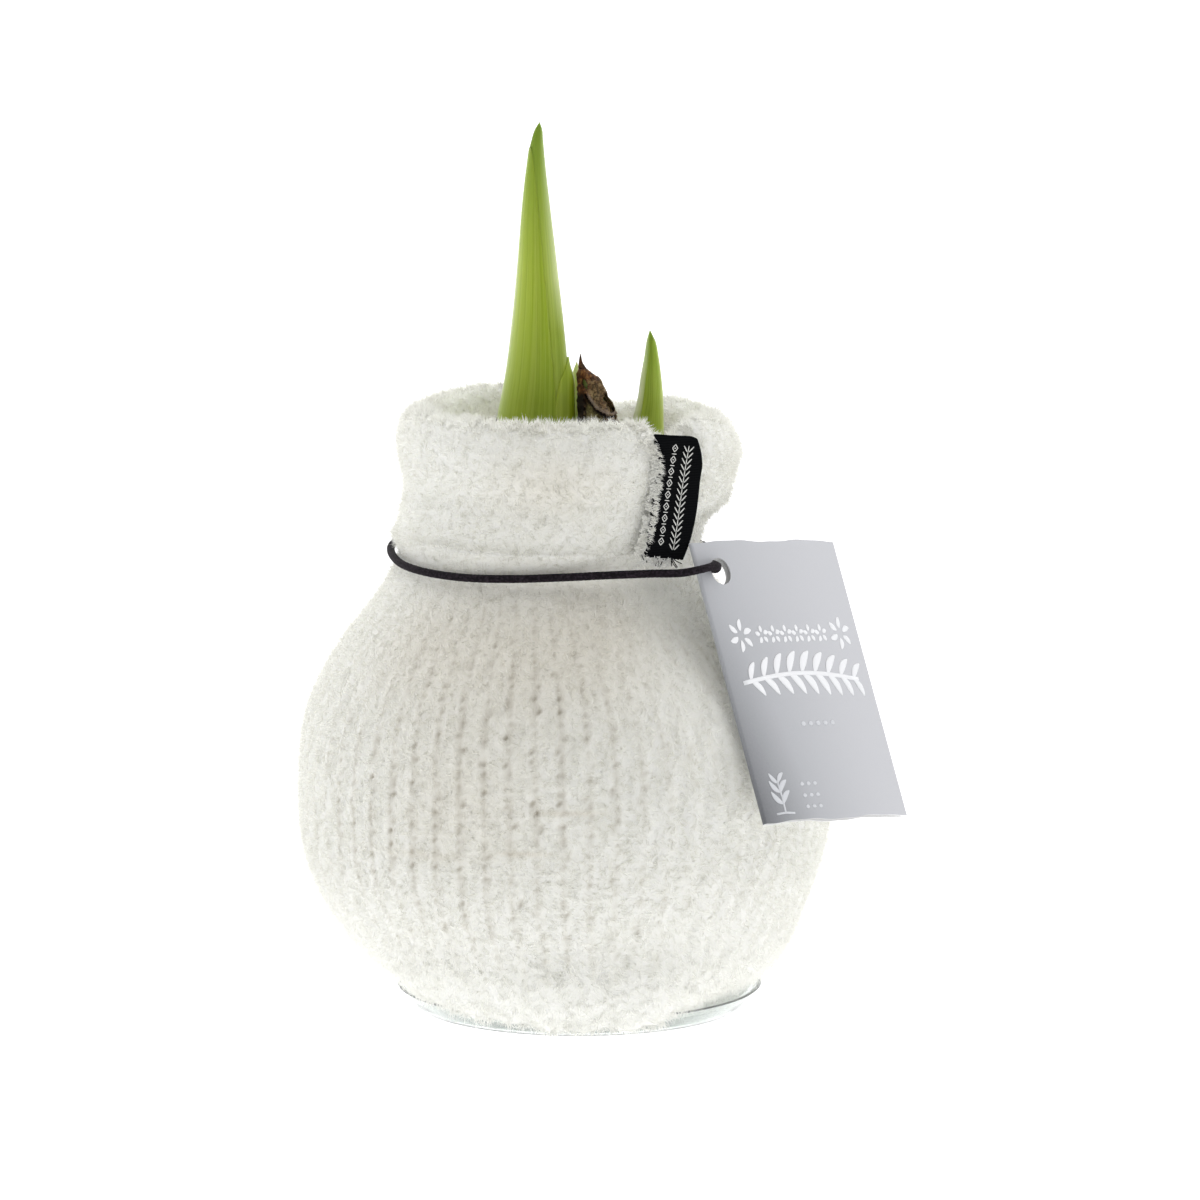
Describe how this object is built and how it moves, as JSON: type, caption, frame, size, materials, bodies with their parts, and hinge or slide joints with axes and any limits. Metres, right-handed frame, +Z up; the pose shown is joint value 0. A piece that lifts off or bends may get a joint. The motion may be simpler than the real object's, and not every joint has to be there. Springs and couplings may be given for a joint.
{
  "type": "amaryllis bulb in knitted cover",
  "caption": "Sprouting amaryllis bulb in a fluffy white knitted cover with folded cuff, on a clear dish, with cord, card tag and woven label.",
  "frame": {"origin": "centre of the dish's underside", "axes": "+Z up along the shoots, -Y towards the front, +X towards the side where the tag hangs"},
  "size_m": [0.1203, 0.1064, 0.1752],
  "materials": {
    "cover_yarn": "matte",
    "label_ribbon": "matte",
    "elastic": "matte",
    "tag_card": "satin",
    "clear_dish": "gloss",
    "leaf": "satin",
    "leaf_pale": "satin",
    "bulb_skin": "satin",
    "dry_scale": "matte"
  },
  "bodies": {
    "root": {"dish": "clear_dish", "bulb": "bulb_skin", "tall_shoot_near_leaf": "leaf", "tall_shoot_far_leaf": "leaf_pale", "tall_shoot_collar_leaf": "leaf", "side_leaf": "leaf_pale", "short_shoot_near_leaf": "leaf", "short_shoot_far_leaf": "leaf_pale", "bud": "leaf", "dry_scale": "dry_scale", "dry_flake_left": "dry_scale", "dry_curl_right": "dry_scale", "knit_cover": "cover_yarn", "elastic_cord": "elastic", "woven_label": "label_ribbon", "hang_tag": "tag_card"}
  },
  "joints": []
}
